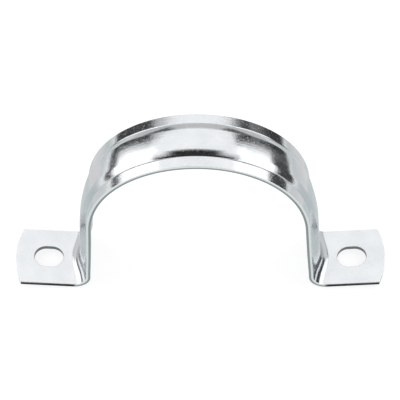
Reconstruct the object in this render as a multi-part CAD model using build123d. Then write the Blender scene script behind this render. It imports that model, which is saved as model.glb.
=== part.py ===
from build123d import *
from math import atan, cos, radians, sin, tan
import os

# Omega clamp: one strip of sheet steel, pressed and bent into an arch with two feet.
# X runs from foot to foot, Y along the pipe and Z up from the mounting surface.
# The origin is midway between the feet, in the plane where both foot bends touch that surface.
# Millimetres and degrees.

# The strip
thickness = 1.2
foot_width = 17.1        # the strip as it was cut
arch_width = 16.3        # drawn in by the pressing of the rib
length = 99.7            # over both rounded ends
end_radius = 23.0        # the arc that each end is cut to

# The arch and its legs
seat_radius = 28.0       # pipe side of the arch
inside_height = 54.7     # mounting surface to the pipe side of the crown
leg_splay = 2.9          # each leg leans out, and stands upright once the screws are tight
foot_tilt = 5.1          # each foot rises outwards, and lies flat once the screws are tight
bend_radius = 3.5        # inside of the foot bend

# The rib, pressed outwards along the middle of the strip
rib_top_width = 4.6
rib_base_width = 10.4
rib_arch_height = 0.9    # flattened where the strip was bent round
rib_leg_height = 2.0     # full height, from the foot of the arch downwards
rib_swell_angle = 18.0   # where the low rib of the arch starts to swell, above the horizontal
rib_bend_radius = 2.5    # inside of the bend where the rib runs out into the foot
shoulder_steps = 4       # the rounded shoulder is lofted through outlines this many steps apart

# The narrowing of the strip on each leg
narrow_from = 5.0
narrow_to = 13.0

# The screw slots
slot_from_end = 8.85     # from a slot's centre to its foot's rounded end
slot_length = 7.9
slot_width = 6.4


def direction(angle):
    """Unit vector in the front view, turned up from +X."""
    return Vector(cos(radians(angle)), 0, sin(radians(angle)))


leg_out = direction(leg_splay)             # square to the right leg, away from the pipe
swell_out = direction(rib_swell_angle)
foot_along = direction(foot_tilt)          # outwards along the right foot
foot_up = direction(foot_tilt + 90)        # square to the right foot

seat_centre = Vector(0, 0, inside_height - seat_radius)
leg_face = leg_out.dot(seat_centre) + seat_radius + thickness

# The foot bend of the plain strip touches the mounting surface, and so places the foot
bend_height = bend_radius + thickness
bend_centre = Vector((leg_face + bend_radius - bend_height * leg_out.Z) / leg_out.X, 0, bend_height)
foot_top = foot_up.dot(bend_centre) - bend_radius

# A sloping wall keeps its thickness when its pipe side is moved in by this much
shoulder = (rib_base_width - rib_top_width) / 2
wall_shift = thickness * tan(atan(rib_leg_height / shoulder) / 2)


def foot_bend(leg_rise, turn):
    """Centre of the bend between a leg face that stands leg_rise proud and the top of the foot."""
    up = foot_top + turn
    along = (leg_face + leg_rise + turn - up * leg_out.dot(foot_up)) / leg_out.dot(foot_along)
    return foot_along * along + foot_up * up


# Each foot is flat from where the bend of the rib ends
foot_from = foot_along.dot(foot_bend(rib_leg_height, rib_bend_radius)) + thickness / 2


def rib_share(y):
    """How much of the rib's height is reached at a distance y from the middle: 1 on top, 0 beside it."""
    across = (abs(y) - rib_top_width / 2) / shoulder
    across = min(max(across, 0), 1)
    return 1 - across * across * (3 - 2 * across)


def face_edges(y, share, lift):
    """The edges of one face of the strip in front view, from the left foot over the arch to the right.

    share is the part of the rib's height, and lift the distance from the pipe side.
    """
    arch_rise = rib_arch_height * share
    leg_rise = rib_leg_height * share
    inside_turn = bend_radius + (rib_bend_radius - bend_radius) * share

    # The low rib of the arch, and the point where it leaves the arch's own curve
    arch_radius = seat_radius + thickness + arch_rise
    crown = seat_centre + Vector(0, 0, arch_radius)
    swell_start = seat_centre + swell_out * arch_radius

    # The curve that swells from there is tangent to the leg
    half_turn = radians(rib_swell_angle - leg_splay) / 2
    to_leg = leg_face + leg_rise - leg_out.dot(swell_start)
    tangent_length = to_leg / sin(2 * half_turn)
    swell_radius = tangent_length / tan(half_turn)
    swell_centre = swell_start - swell_out * swell_radius
    swell_middle = swell_centre + direction((rib_swell_angle + leg_splay) / 2) * swell_radius
    leg_start = swell_centre + leg_out * swell_radius

    bend = foot_bend(leg_rise, inside_turn)
    bend_middle = bend - (leg_out + foot_up).normalized() * inside_turn
    leg_end = bend - leg_out * inside_turn
    bend_end = bend - foot_up * inside_turn
    foot_point = foot_along * foot_from + foot_up * foot_top

    # Move each point square to the face, towards the pipe
    inwards = thickness - lift
    crown -= Vector(0, 0, inwards)
    swell_start -= swell_out * inwards
    swell_middle -= (swell_middle - swell_centre).normalized() * inwards
    leg_start -= leg_out * inwards
    leg_end -= leg_out * inwards
    bend_middle -= (leg_out + foot_up).normalized() * inwards
    bend_end -= foot_up * inwards
    foot_point -= foot_up * inwards

    def right(point):
        return Vector(point.X, y, point.Z)

    def left(point):
        return Vector(-point.X, y, point.Z)

    return [
        Line(left(foot_point), left(bend_end)),
        ThreePointArc(left(bend_end), left(bend_middle), left(leg_end)),
        Line(left(leg_end), left(leg_start)),
        ThreePointArc(left(leg_start), left(swell_middle), left(swell_start)),
        ThreePointArc(left(swell_start), right(crown), right(swell_start)),
        ThreePointArc(right(swell_start), right(swell_middle), right(leg_start)),
        Line(right(leg_start), right(leg_end)),
        ThreePointArc(right(leg_end), right(bend_middle), right(bend_end)),
        Line(right(bend_end), right(foot_point)),
    ]


def strip_outline(y):
    """The closed outline of the strip's thickness in front view, at a distance y from the middle."""
    outside = face_edges(y, rib_share(y), thickness)
    pipe_side = face_edges(y, rib_share(abs(y) + wall_shift), 0)
    ends = [
        Line(outside[0] @ 0, pipe_side[0] @ 0),
        Line(outside[-1] @ 1, pipe_side[-1] @ 1),
    ]
    return Wire([*outside, *pipe_side, *ends])


def plain_part(y_from, y_to):
    """A stretch of the strip with the same outline all the way."""
    return extrude(Face(strip_outline(y_from)), amount=y_to - y_from, dir=(0, 1, 0))


def make_shoulder():
    """The rounded slope from the top of the rib down to the flange, from the arch to both bends."""
    inner = rib_top_width / 2 - wall_shift
    step = (rib_base_width / 2 - inner) / shoulder_steps
    outlines = [strip_outline(inner + step * i) for i in range(shoulder_steps + 1)]
    return Solid.make_loft(outlines)


def make_foot():
    """The right foot, flat from its bend to beyond where its end is cut."""
    start = foot_along * foot_from + foot_up * (foot_top - thickness)
    on_foot = Plane(origin=start, x_dir=foot_along, z_dir=foot_up)
    return on_foot * Box(length / 2, foot_width, thickness, align=(Align.MIN, Align.CENTER, Align.MIN))


def make_strip():
    """The bent strip with its rib, before its ends, sides and slots are cut."""
    half_top = rib_top_width / 2 - wall_shift
    rib_top = plain_part(-half_top, half_top)
    beside = make_shoulder() + plain_part(rib_base_width / 2, foot_width / 2)
    foot = make_foot()
    return rib_top + beside + mirror(beside, Plane.XZ) + foot + mirror(foot, Plane.YZ)


def end_outline():
    """The clamp seen from above: straight sides between two ends cut to an arc."""
    side = foot_width / 2
    corner = length / 2 - end_radius + (end_radius**2 - side**2) ** 0.5
    return make_face([
        Line((-corner, -side), (corner, -side)),
        ThreePointArc((corner, -side), (length / 2, 0), (corner, side)),
        Line((corner, side), (-corner, side)),
        ThreePointArc((-corner, side), (-length / 2, 0), (-corner, -side)),
    ])


def side_outline():
    """The clamp seen along X: as wide as the cut strip at the feet, narrower over the arch."""
    top = inside_height + 2 * thickness + rib_arch_height
    wide = foot_width / 2
    narrow = arch_width / 2
    middle = (narrow_from + narrow_to) / 2
    right = [
        Line((wide, -thickness), (wide, narrow_from)),
        Bezier((wide, narrow_from), (wide, middle), (narrow, middle), (narrow, narrow_to)),
        Line((narrow, narrow_to), (narrow, top)),
    ]
    left = [mirror(edge, Plane.YZ) for edge in right]
    across = [Line((-wide, -thickness), (wide, -thickness)), Line((-narrow, top), (narrow, top))]
    return Plane.YZ * make_face([*right, *left, *across])


def make_clamp():
    """The finished clamp. Its ends and slots are cut square to the mounting surface."""
    from_above = extrude(end_outline(), amount=2 * inside_height, both=True)
    from_side = extrude(side_outline(), amount=length, both=True)
    slot = extrude(SlotOverall(slot_length, slot_width), amount=inside_height / 2, both=True)
    slot_x = length / 2 - slot_from_end
    slots = Locations((-slot_x, 0), (slot_x, 0)) * slot
    return (make_strip() & from_above & from_side) - slots


os.makedirs("parts", exist_ok=True)
clamp = make_clamp()
export_step(clamp, "parts/omega_clamp.step")
print("volume", round(clamp.volume, 1), "size", clamp.bounding_box().size)
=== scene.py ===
from math import atan, cos, exp, pi, radians, sin, tan

import bmesh
import bpy
from mathutils import Matrix, Vector


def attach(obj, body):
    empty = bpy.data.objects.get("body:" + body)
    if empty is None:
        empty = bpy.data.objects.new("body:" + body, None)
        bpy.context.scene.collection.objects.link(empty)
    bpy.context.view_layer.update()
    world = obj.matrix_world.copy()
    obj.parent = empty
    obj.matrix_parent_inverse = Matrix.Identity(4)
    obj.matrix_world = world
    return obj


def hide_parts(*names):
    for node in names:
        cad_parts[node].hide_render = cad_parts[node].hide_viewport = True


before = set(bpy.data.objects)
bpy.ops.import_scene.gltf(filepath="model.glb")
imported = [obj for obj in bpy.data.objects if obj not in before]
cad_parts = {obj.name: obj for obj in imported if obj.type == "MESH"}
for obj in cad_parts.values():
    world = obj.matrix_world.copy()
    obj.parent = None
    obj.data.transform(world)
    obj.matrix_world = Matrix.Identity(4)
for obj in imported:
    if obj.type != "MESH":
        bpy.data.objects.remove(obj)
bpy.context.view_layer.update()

MM = 0.001

# The strip, in millimetres and degrees, with the same values as in the part's source
thickness = 1.2
foot_width = 17.1
arch_width = 16.3
length = 99.7
end_radius = 23.0
seat_radius = 28.0
inside_height = 54.7
leg_splay = 2.9
foot_tilt = 5.1
bend_radius = 3.5
rib_top_width = 4.6
rib_base_width = 10.4
rib_arch_height = 0.9
rib_leg_height = 2.0
rib_swell_angle = 18.0
rib_bend_radius = 2.5
narrow_from = 5.0
narrow_to = 13.0
slot_from_end = 8.85
slot_length = 7.9
slot_width = 6.4

# What the finished strip adds to the plain form
rib_arch_top = 5.6         # the bending flattened the rib's top over the arch
rib_arch_base = 10.1
rib_crown_height = 0.55    # and pressed it down most at the crown
shoulder_power = 1.5       # over the arch its shoulder starts round and ends at a sharp foot
rib_top_tilt = 3.1         # where its top is a little domed, up to this slope at its sides
flange_tilt = 3.0          # and the flanges fall away to both edges
rib_leg_top = 3.0          # it stayed rounder on the legs
lobe_height = 2.3          # and runs out into the foot bend in a lobe
lobe_half_width = 9.5      # that reaches the edges of the strip
lobe_from = 0.5            # share of the leg above the lobe
die_line_depth = 0.05      # the die left a fine line at the foot of the shoulder
die_line_reach = 0.16      # from its middle to where it is about a third as deep
edge_rounding = 0.07       # the shears and punches left the edges a little round
edge_turn = 50             # edges where the surface turns by more than this are rounded


def direction(angle):
    """Unit vector in the front view, turned up from +X."""
    return Vector((cos(radians(angle)), 0, sin(radians(angle))))


leg_out = direction(leg_splay)         # square to the right leg, away from the pipe
foot_along = direction(foot_tilt)      # outwards along the right foot
foot_up = direction(foot_tilt + 90)    # square to the right foot

seat_centre = Vector((0, 0, inside_height - seat_radius))
leg_face = leg_out.dot(seat_centre) + seat_radius + thickness

# The foot bend of the plain strip touches the mounting surface, and so places the foot
bend_height = bend_radius + thickness
bend_centre = Vector(((leg_face + bend_radius - bend_height * leg_out.z) / leg_out.x, 0, bend_height))
foot_top = foot_up.dot(bend_centre) - bend_radius

# A sloping wall keeps its thickness when its pipe side is moved in by this much
shoulder = (rib_base_width - rib_top_width) / 2
wall_shift = thickness * tan(atan(rib_leg_height / shoulder) / 2)


def foot_bend(leg_rise, turn):
    """Centre of the bend between a leg face that stands leg_rise proud and the top of the foot."""
    up = foot_top + turn
    along = (leg_face + leg_rise + turn - up * leg_out.dot(foot_up)) / leg_out.dot(foot_along)
    return foot_along * along + foot_up * up


foot_from = foot_along.dot(foot_bend(rib_leg_height, rib_bend_radius)) + thickness / 2
slot_x = length / 2 - slot_from_end


def smooth_step(share):
    """Eases a share in and out between 0 and 1, and holds it beyond them."""
    share = min(max(share, 0), 1)
    return share * share * (3 - 2 * share)


def shoulder_share(y, top_width, base_width):
    """How far down the rib's shoulder a distance y from the middle is: 0 on top, 1 at its foot."""
    return min(max((y - top_width / 2) / (base_width - top_width) * 2, 0), 1)


def die_line(off):
    """Depth of the fine line that the die has left, at a distance off its middle."""
    return die_line_depth * exp(-((off / die_line_reach) ** 2))


def arch_rise(y, lift, height):
    """How far a face of the arch stands out beside the rib, on its shoulder and on its domed top.

    lift is the face's distance from the pipe side, and only the outer face has the die's line.
    """
    from_rib = y if lift else y + wall_shift
    top, foot = rib_arch_top / 2, rib_arch_base / 2
    dome = -tan(radians(rib_top_tilt)) * min(y, top) ** 2 / (2 * top)
    fall = -tan(radians(flange_tilt)) * max(y - foot, 0)
    line = die_line(y - foot) if lift else 0
    slope = shoulder_share(from_rib, rib_arch_top, rib_arch_base)
    return height * (1 - slope ** shoulder_power) + dome * (1 - slope) + fall - line


def leg_share(y, lift):
    """How much of the rib's height is reached on the legs, where both ends of the shoulder are round."""
    from_rib = y if lift else y + wall_shift
    return 1 - smooth_step(shoulder_share(from_rib, rib_leg_top, rib_base_width))


def half_width(z):
    """Half the strip's width at a height above the mounting surface."""
    drawn_in = smooth_step((z - narrow_from) / (narrow_to - narrow_from))
    return (foot_width + (arch_width - foot_width) * drawn_in) / 2


def arc_point(centre, radius, angle):
    """A point of an arc in the front view."""
    return centre + direction(angle) * radius


# Rows of the mesh from the crown to the flat foot
ARCH_STEPS = 40
SWELL_STEPS = 14
LEG_STEPS = 24
BEND_STEPS = 26
ROWS = ARCH_STEPS + SWELL_STEPS + LEG_STEPS + BEND_STEPS + 1


def strip_point(row, y, lift):
    """A point of one face in front view, in rows from the crown down the right leg to the flat foot."""
    inwards = thickness - lift
    swelling = smooth_step(row / ARCH_STEPS)
    rib_height = rib_crown_height + (rib_arch_height - rib_crown_height) * swelling
    arch_radius = seat_radius + thickness + arch_rise(y, lift, rib_height)
    if row <= ARCH_STEPS:
        angle = 90 + (rib_swell_angle - 90) * row / ARCH_STEPS
        return arc_point(seat_centre, arch_radius - inwards, angle)
    row -= ARCH_STEPS

    # The rib swells along a curve that is tangent to the arch and to the leg
    line = die_line(y - rib_base_width / 2) if lift else 0
    leg_rise = rib_leg_height * leg_share(y, lift) - line
    swell_start = arc_point(seat_centre, arch_radius, rib_swell_angle)
    half_turn = radians(rib_swell_angle - leg_splay) / 2
    to_leg = leg_face + leg_rise - leg_out.dot(swell_start)
    swell_radius = to_leg / sin(2 * half_turn) / tan(half_turn)
    swell_centre = swell_start - direction(rib_swell_angle) * swell_radius
    if row <= SWELL_STEPS:
        angle = rib_swell_angle + (leg_splay - rib_swell_angle) * row / SWELL_STEPS
        return arc_point(swell_centre, swell_radius - inwards, angle)
    row -= SWELL_STEPS

    # The leg keeps the rib's height down to lobe_from, and below that goes over to the lobe's
    lobe = 1 - smooth_step(y / lobe_half_width)
    turn = bend_radius + (rib_bend_radius - bend_radius) * lobe
    bend = foot_bend(lobe_height * lobe, turn)
    if row <= LEG_STEPS:
        leg_start = arc_point(swell_centre, swell_radius - inwards, leg_splay)
        leg_end = bend - leg_out * (turn + inwards)
        down = row / LEG_STEPS
        into_lobe = smooth_step((down - lobe_from) / (1 - lobe_from))
        off_line = leg_out * (leg_rise - lobe_height * lobe) * (down - into_lobe)
        return leg_start.lerp(leg_end, down) + off_line
    row -= LEG_STEPS

    if row <= BEND_STEPS:
        angle = 180 + leg_splay + (foot_tilt + 90 - leg_splay) * row / BEND_STEPS
        return arc_point(bend, turn + inwards, angle)
    return foot_along * foot_from + foot_up * (foot_top - inwards)


def foot_height(x, lift):
    """Height of the foot's face at a place along X."""
    return (foot_top - thickness + lift - foot_up.x * x) / foot_up.z


# Columns of the mesh across the strip, whose width changes only beyond a distance from the middle.
# They come in stretches, each up to its distance in a number of steps.
FLANGE_FROM = 5.6
STRETCHES = ((1.4, 4), (4.8, 24), (FLANGE_FROM, 10), (arch_width / 2, 6))
COLUMNS = sum(steps for _, steps in STRETCHES)


def across(column):
    """Distance of a column of the mesh from the middle of the strip."""
    start = 0
    for end, steps in STRETCHES:
        if column <= steps:
            return start + (end - start) * column / steps
        column -= steps
        start = end


def widened(y, z):
    """A column's distance from the middle at a height, with the flanges wider towards the feet."""
    if y <= FLANGE_FROM:
        return y
    return FLANGE_FROM + (y - FLANGE_FROM) * (half_width(z) - FLANGE_FROM) / (arch_width / 2 - FLANGE_FROM)


# Steps of the foot's outline: its side, half of its rounded end and each quarter circle of its slot
SIDE_STEPS = 4
END_STEPS = 18
SLOT_STEPS = 14


def foot_outline(start):
    """Half of the foot's outline from above, from where its side starts: side, rounded end and slot."""
    side = foot_width / 2
    end_centre = length / 2 - end_radius
    corner = end_centre + (end_radius**2 - side**2) ** 0.5
    outline = [(start + (corner - start) * i / SIDE_STEPS, side) for i in range(1, SIDE_STEPS + 1)]
    for i in range(1, END_STEPS + 1):
        y = side * (1 - i / END_STEPS)
        outline.append((end_centre + (end_radius**2 - y**2) ** 0.5, y))
    flat = (slot_length - slot_width) / 2
    for quarter, centre in ((0, slot_x + flat), (1, slot_x - flat)):
        for i in range(SLOT_STEPS + 1):
            angle = pi / 2 * (quarter + i / SLOT_STEPS)
            outline.append((centre + slot_width / 2 * cos(angle), slot_width / 2 * sin(angle)))
    return outline


def make_quarter_face(lift):
    """A quarter of one face: from the crown to the right foot, and from the middle to one side."""
    bm = bmesh.new()
    bmesh.ops.create_grid(bm, x_segments=ROWS, y_segments=COLUMNS, size=0.5)
    last_row = {}
    for vert in bm.verts:
        row = round((vert.co.x + 0.5) * ROWS)
        column = round((vert.co.y + 0.5) * COLUMNS)
        y = across(column)
        point = strip_point(row, y, lift)
        vert.co = Vector((point.x, widened(y, point.z), point.z))
        if row == ROWS:
            last_row[column] = vert
    outline = foot_outline(last_row[COLUMNS].co.x)
    rim = [bm.verts.new((x, y, foot_height(x, lift))) for x, y in outline]
    bm.faces.new([last_row[column] for column in range(COLUMNS + 1)] + rim)
    return bm


# Points that the mirror brings this close are one, in millimetres
SAME_POINT = 1e-4


def make_face(lift):
    """One whole face of the strip, mirrored from its quarter."""
    bm = make_quarter_face(lift)
    for axis in "YX":
        whole = bm.verts[:] + bm.edges[:] + bm.faces[:]
        bmesh.ops.mirror(bm, geom=whole, axis=axis, merge_dist=SAME_POINT)
    mesh = bpy.data.meshes.new("face")
    bm.to_mesh(mesh)
    bm.free()
    return mesh


def in_slot(point):
    """Whether a point of a face is in one of the slots or on its rim."""
    margin = 0.1
    in_length = abs(abs(point.x) - slot_x) < slot_length / 2 + margin
    return in_length and abs(point.y) < slot_width / 2 + margin


def rim_name(edge):
    """Which rim an edge of a face is on: one of the slots or the outside."""
    middle = (edge.verts[0].co + edge.verts[1].co) / 2
    if in_slot(middle):
        return "right slot" if middle.x > 0 else "left slot"
    return "outside"


def add_object(name, data):
    """A new object of the scene."""
    added = bpy.data.objects.new(name, data)
    bpy.context.scene.collection.objects.link(added)
    return added


def from_bmesh(name, bm):
    """A new object of the scene from a finished bmesh."""
    mesh = bpy.data.meshes.new(name)
    bm.to_mesh(mesh)
    bm.free()
    return add_object(name, mesh)


def as_stage(name, bm):
    """A new object of the scene from its finished bmesh, for the floor and the cards."""
    piece = from_bmesh(name, bm)
    return piece


# The cut edges' depth attribute is 0 beside the outer face, and these beside the pipe side and in the slots
PIPE_SIDE_DEPTH = 0.8
# The slots' value picks the cut edges' darkest colour, which is painted shade in the punched holes
SLOT_SHADE_DEPTH = 1.0

# The strip's first material is its plating, and its second is for the cut edges
EDGE_MATERIAL = 1


def make_clamp():
    """The pressed strip: both faces, joined by the cut edges round it and through the slots."""
    bm = bmesh.new()
    depth = bm.verts.layers.float.new("depth")
    for lift in (thickness, 0):
        before = len(bm.verts)
        mesh = make_face(lift)
        bm.from_mesh(mesh)
        bpy.data.meshes.remove(mesh)
        bm.verts.ensure_lookup_table()
        for vert in bm.verts[before:]:
            # Slot rims get the darkest edge colour: painted shade in the punched holes
            vert[depth] = SLOT_SHADE_DEPTH if in_slot(vert.co) else PIPE_SIDE_DEPTH * (1 - lift / thickness)
    rims = {}
    for edge in bm.edges:
        if edge.is_boundary:
            rims.setdefault(rim_name(edge), []).append(edge)
    for edges in rims.values():
        for face in bmesh.ops.bridge_loops(bm, edges=edges)["faces"]:
            face.material_index = EDGE_MATERIAL
    bmesh.ops.recalc_face_normals(bm, faces=bm.faces)
    bmesh.ops.scale(bm, vec=(MM, MM, MM), verts=bm.verts)
    for face in bm.faces:
        face.smooth = True
    clamp = from_bmesh("pressed_strip", bm)
    bevel = clamp.modifiers.new("edge_rounding", "BEVEL")
    bevel.width = edge_rounding * MM
    bevel.segments = 2
    bevel.limit_method = "ANGLE"
    bevel.angle_limit = radians(edge_turn)
    bevel.harden_normals = True
    bevel.use_clamp_overlap = False
    bevel.material = EDGE_MATERIAL
    return clamp


def linear(colour):
    """An sRGB hex colour as linear RGBA."""
    parts = [int(colour[i:i + 2], 16) / 255 for i in (1, 3, 5)]
    return [part / 12.92 if part <= 0.04045 else ((part + 0.055) / 1.055) ** 2.4 for part in parts] + [1]


def add_node(tree, kind, links=(), **settings):
    """Adds a node, sets its properties or input values by name, and links its inputs by name or number."""
    node = tree.nodes.new(kind)
    for name, value in settings.items():
        if hasattr(node, name):
            setattr(node, name, value)
        else:
            node.inputs[name.replace("_", " ")].default_value = value
    for name, output in dict(links).items():
        tree.links.new(output, node.inputs[name])
    return node


def new_material(name):
    """A material whose node tree is still empty, and that tree."""
    material = bpy.data.materials.new(name)
    material.use_nodes = True
    material.node_tree.nodes.clear()
    return material, material.node_tree


# The Mix node has sockets of the same names for every kind of value, and these are the ones for colours
MIX_FIRST, MIX_SECOND, MIX_RESULT = 6, 7, 2

# Sizes of what shows in the plating
speck = 0.3 * MM          # about a pixel of the photograph, because finer ones wouldn't show
patch = 7 * MM            # the plating's shade wanders a little over this distance
rolled_line = 0.6 * MM    # the rolling left lines along the strip, drawn this wide to show at all
rolled_run = 40 * MM      # how far one of these lines runs


def bright_zinc():
    """Bright zinc plated, cold-rolled steel: a pale mirror, dulled in specks by the rolled surface."""
    material, tree = new_material("bright_zinc_plated_steel")
    place = add_node(tree, "ShaderNodeTexCoord").outputs["Object"]
    specks = add_node(tree, "ShaderNodeTexNoise", {"Vector": place}, Scale=1 / speck, Detail=2.0)
    dull = add_node(tree, "ShaderNodeMapRange", {"Value": specks.outputs["Fac"]},
                    From_Min=0.45, From_Max=0.72, To_Min=0.07, To_Max=0.29)
    patches = add_node(tree, "ShaderNodeTexNoise", {"Vector": place}, Scale=1 / patch, Detail=2.0)
    shade = add_node(tree, "ShaderNodeMapRange", {"Value": patches.outputs["Fac"]},
                     From_Min=0.35, From_Max=0.65, To_Min=0.0, To_Max=1.0)
    colour = add_node(tree, "ShaderNodeMix", {"Factor": shade.outputs["Result"]}, data_type="RGBA")
    colour.inputs[MIX_FIRST].default_value = linear("#d0d3d6")
    colour.inputs[MIX_SECOND].default_value = linear("#d8dadc")
    along = add_node(tree, "ShaderNodeMapping", {"Vector": place},
                     Scale=(1 / rolled_run, 1 / rolled_line, 1 / rolled_run))
    lines = add_node(tree, "ShaderNodeTexNoise", {"Vector": along.outputs["Vector"]}, Scale=1.0, Detail=2.0)
    rolled = add_node(tree, "ShaderNodeBump", {"Height": lines.outputs["Fac"]},
                      Strength=1.0, Distance=0.012 * MM)
    bump = add_node(tree, "ShaderNodeBump",
                    {"Height": specks.outputs["Fac"], "Normal": rolled.outputs["Normal"]},
                    Strength=0.6, Distance=0.02 * MM)
    shader = add_node(tree, "ShaderNodeBsdfPrincipled",
                      {"Base Color": colour.outputs[MIX_RESULT], "Roughness": dull.outputs["Result"],
                       "Normal": bump.outputs["Normal"]}, Metallic=1.0)
    add_node(tree, "ShaderNodeOutputMaterial", {"Surface": shader.outputs["BSDF"]})
    return material


def sheared_edge():
    """Zinc plated sheared edge of the steel, darkest in the punched slots, where the darkness is painted
    shade.

    It is pale beside the outer face, where the shears burnished it and a painted highlight makes it
    near white, and grey below, where the steel broke.
    """
    material, tree = new_material("plated_sheared_edge")
    burnished_highlight_to, broken_from = 0.34, 0.42
    depth = add_node(tree, "ShaderNodeAttribute", attribute_name="depth").outputs["Fac"]
    colour = add_node(tree, "ShaderNodeValToRGB", {"Fac": depth})
    burnished, slot = colour.color_ramp.elements
    # Near white beside the outer face: a real burnished band, painted lighter as a highlight
    burnished.position = burnished_highlight_to
    burnished.color = linear("#fcfcfc")
    # Darkest in the slots: painted shade in the punched holes
    slot.position = SLOT_SHADE_DEPTH
    slot.color = linear("#7c7e81")
    for position in (broken_from, PIPE_SIDE_DEPTH):
        colour.color_ramp.elements.new(position).color = linear("#a4a6a9")
    shader = add_node(tree, "ShaderNodeBsdfPrincipled", {"Base Color": colour.outputs["Color"]},
                      Metallic=1.0, Roughness=0.32)
    add_node(tree, "ShaderNodeOutputMaterial", {"Surface": shader.outputs["BSDF"]})
    return material


def shown_or_mirrored(tree):
    """1 for what the camera sees or the metal mirrors, and 0 for light that falls on things."""
    path = add_node(tree, "ShaderNodeLightPath").outputs
    either = add_node(tree, "ShaderNodeMath", {0: path["Is Camera Ray"], 1: path["Is Glossy Ray"]},
                      operation="MAXIMUM")
    return either.outputs[0]


def surround_with_white():
    """White surroundings, which light things less than they show."""
    world = bpy.data.worlds.new("studio")
    bpy.context.scene.world = world
    world.use_nodes = True
    tree = world.node_tree
    tree.nodes.clear()
    strength = add_node(tree, "ShaderNodeMapRange", {"Value": shown_or_mirrored(tree)},
                        To_Min=0.6, To_Max=1.0)
    back = add_node(tree, "ShaderNodeBackground", {"Strength": strength.outputs["Result"]},
                    Color=linear("#ffffff"))
    add_node(tree, "ShaderNodeOutputWorld", {"Surface": back.outputs["Background"]})


FLOOR_SIZE = 4
FLOOR_LEVEL = -0.02 * MM    # just clear of the foot bends


def lay_floor():
    """A white sweep. Half of what shows of it glows, which keeps it white and the shadows on it pale."""
    bm = bmesh.new()
    bmesh.ops.create_grid(bm, x_segments=1, y_segments=1, size=FLOOR_SIZE / 2)
    bmesh.ops.translate(bm, vec=(0, 0, FLOOR_LEVEL), verts=bm.verts)
    floor = as_stage("floor", bm)
    material, tree = new_material("white_sweep")
    paint = add_node(tree, "ShaderNodeBsdfDiffuse", Color=linear("#f2f2f2"))
    glow = add_node(tree, "ShaderNodeEmission", Color=linear("#ffffff"), Strength=1.45)
    share = add_node(tree, "ShaderNodeMapRange", {"Value": shown_or_mirrored(tree)},
                     To_Min=0.0, To_Max=0.5)
    both = add_node(tree, "ShaderNodeMixShader",
                    {"Fac": share.outputs["Result"], 1: paint.outputs["BSDF"], 2: glow.outputs["Emission"]})
    add_node(tree, "ShaderNodeOutputMaterial", {"Surface": both.outputs["Shader"]})
    floor.data.materials.append(material)


# The cards and soft boxes stand round this point
ARCH_MIDDLE = Vector((0, 0, 45 * MM))


def direction_to(azimuth, elevation=0):
    """Unit vector from the arch. Azimuth 0 is behind it and 90 to its right."""
    turn, rise = radians(azimuth), radians(elevation)
    return Vector((sin(turn) * cos(rise), cos(turn) * cos(rise), sin(rise)))


def facing(place, right, up, back):
    """The matrix of a light or camera at a place, by where its right, top and back point."""
    return Matrix.Translation(place) @ Matrix((right, up, back)).transposed().to_4x4()


def card_tone(name, shade):
    """A card's even tone, thinning out where its cover attribute falls to 0."""
    material, tree = new_material(name)
    cover = add_node(tree, "ShaderNodeAttribute", attribute_name="cover").outputs["Fac"]
    tone = add_node(tree, "ShaderNodeEmission", Color=linear(shade), Strength=1.0)
    clear = add_node(tree, "ShaderNodeBsdfTransparent")
    both = add_node(tree, "ShaderNodeMixShader",
                    {"Fac": cover, 1: clear.outputs["BSDF"], 2: tone.outputs["Emission"]})
    add_node(tree, "ShaderNodeOutputMaterial", {"Surface": both.outputs["Shader"]})
    return material


def add_card(name, shade, soft, place_of, steps):
    """A card that only the metal mirrors, with soft edges.

    place_of turns shares across and up the card into a point and how far inside the card's edge it is,
    in the same unit as soft.
    """
    bm = bmesh.new()
    bmesh.ops.create_grid(bm, x_segments=steps, y_segments=steps, size=0.5)
    cover = bm.verts.layers.float.new("cover")
    for vert in bm.verts:
        point, inside = place_of(vert.co.x + 0.5, vert.co.y + 0.5)
        vert.co = point
        vert[cover] = smooth_step(inside / soft)
    card = as_stage(name, bm)
    card.data.materials.append(card_tone(name, shade))
    card.visible_camera = False
    card.visible_diffuse = False
    card.visible_shadow = False


def flat_card(name, shade, centre, size, soft, azimuth=None):
    """A flat card, level or upright and facing an azimuth, with its measures in metres."""
    rightwards, upwards = Vector((1, 0, 0)), Vector((0, 1, 0))
    if azimuth is not None:
        rightwards, upwards = direction_to(azimuth + 90), Vector((0, 0, 1))

    def place_of(over, up):
        x, y = over - 0.5, up - 0.5
        inside = min((0.5 - abs(x)) * size[0], (0.5 - abs(y)) * size[1])
        return Vector(centre) + rightwards * x * size[0] + upwards * y * size[1], inside

    add_card(name, shade, soft, place_of, steps=30)


def curved_card(name, shade, low_azimuths, high_azimuths, elevations, soft, distance=0.28):
    """A card curved round the arch, from its lower to its upper elevation.

    Its sides lean ever more from the lower azimuths to the upper ones, and its edges are soft
    over so many degrees.
    """
    height = elevations[1] - elevations[0]

    def place_of(over, up):
        left, right = [low + (high - low) * up * up for low, high in zip(low_azimuths, high_azimuths)]
        width = right - left
        inside = min(over * width, (1 - over) * width, up * height, (1 - up) * height)
        towards = direction_to(left + width * over, elevations[0] + height * up)
        return ARCH_MIDDLE + towards * distance, inside

    add_card(name, shade, soft, place_of, steps=24)


def soft_box(name, azimuth, elevation, distance, width, height, brightness):
    """A soft box facing the arch. Its width and height are in degrees, and a brightness of 1 is white."""
    data = bpy.data.lights.new(name, "AREA")
    data.shape = "RECTANGLE"
    data.size, data.size_y = [2 * distance * tan(radians(span) / 2) for span in (width, height)]
    data.energy = brightness * data.size * data.size_y * pi
    back = direction_to(azimuth, elevation)
    right = direction_to(azimuth + 90)
    light = add_object(name, data)
    light.matrix_world = facing(ARCH_MIDDLE + back * distance, right, back.cross(right), back)


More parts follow.
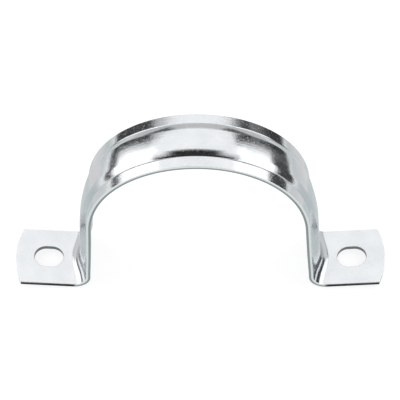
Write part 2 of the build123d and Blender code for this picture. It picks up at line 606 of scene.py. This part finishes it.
def light_the_stage():
    """White studio: dark, grey and light cards for the metal to mirror, and three soft boxes."""
    surround_with_white()
    lay_floor()
    flat_card("dark_over_camera", "#262626", (-0.03, -0.235, 0.50), (0.84, 0.60), 0.12)
    flat_card("dark_over_arch", "#262626", (-0.03, 0.065, 0.503), (0.56, 0.35), 0.14)
    # Painted shade of the floor round the clamp: a grey sheet on the floor which only the metal mirrors,
    # the legs most
    flat_card("painted_floor_shade", "#d5dddd", (0, 0.04, 0.00004), (0.46, 0.40), 0.12)
    for side in (-1, 1):
        # Painted contact shadow: a dark strip on the floor just before each foot, which only the metal
        # mirrors
        flat_card("painted_contact_shadow_before_foot", "#303030", (side * 0.0425, -0.0097, 0.00008), (0.018, 0.003), 0.0006)
        flat_card("light_behind_bend", "#ebebeb", (side * 0.0555, 0.0285, 0.0155), (0.036, 0.033), 0.005,
                  azimuth=side * 42)
    curved_card("grey_behind", "#dadada", (-47, 47), (-47, 47), (-12, 40), 5, 0.34)
    curved_card("dark_behind_left", "#6a6a6a", (-45, -17), (-30, -19), (15, 38), 4, 0.33)
    curved_card("dark_behind_right", "#6a6a6a", (17, 45), (19, 30), (15, 38), 4, 0.33)
    curved_card("dark_back_left", "#363636", (-57.5, -40), (-49, -40), (-8, 35), 3.5)
    curved_card("dark_back_right", "#383838", (41, 59.5), (35, 45), (-11, 42), 3.5)
    curved_card("grey_in_back_right", "#8c8c8c", (42, 51), (42, 50), (6, 28), 4, 0.27)
    curved_card("dark_side_left", "#606060", (-103, -53), (-103, -53), (-7, 4), 2)
    curved_card("dark_side_right", "#484848", (55, 105), (55, 105), (-11, 13), 3)
    soft_box("back_panel", 0, 60, 0.8, 80, 34, 0.28)
    soft_box("left_soft_box", -85, 27, 0.7, 58, 42, 0.7)
    soft_box("right_soft_box", 86, 33, 0.7, 58, 36, 0.7)


# The photograph's viewpoint, fitted to the edges that show in it, in degrees, millimetres and pixels
camera_azimuth = 2.131        # from the front, to the right
camera_elevation = 55.624
camera_roll = -1.749
camera_distance = 628.178
camera_aim = Vector((0.419, 0, 28.915))
focal_length = 2401.657
image_width = 400
sensor_width = 36


def add_camera():
    """The camera at the photograph's viewpoint."""
    azimuth, elevation, roll = radians(camera_azimuth), radians(camera_elevation), radians(camera_roll)
    back = Vector((sin(azimuth) * cos(elevation), -cos(azimuth) * cos(elevation), sin(elevation)))
    right = Vector((cos(azimuth), sin(azimuth), 0))
    up = back.cross(right)
    turned_right = right * cos(roll) + up * sin(roll)
    turned_up = up * cos(roll) - right * sin(roll)
    data = bpy.data.cameras.new("camera")
    data.sensor_width = sensor_width
    data.lens = focal_length / image_width * sensor_width
    data.clip_start = 0.01
    data.clip_end = 20
    camera = add_object("camera", data)
    camera.matrix_world = facing((camera_aim + back * camera_distance) * MM, turned_right, turned_up, back)
    bpy.context.scene.camera = camera


add_camera()
light_the_stage()
clamp = make_clamp()
clamp.data.materials.append(bright_zinc())
clamp.data.materials.append(sheared_edge())
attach(clamp, "root")
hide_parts("omega_clamp")
bpy.context.scene.view_settings.view_transform = "Standard"
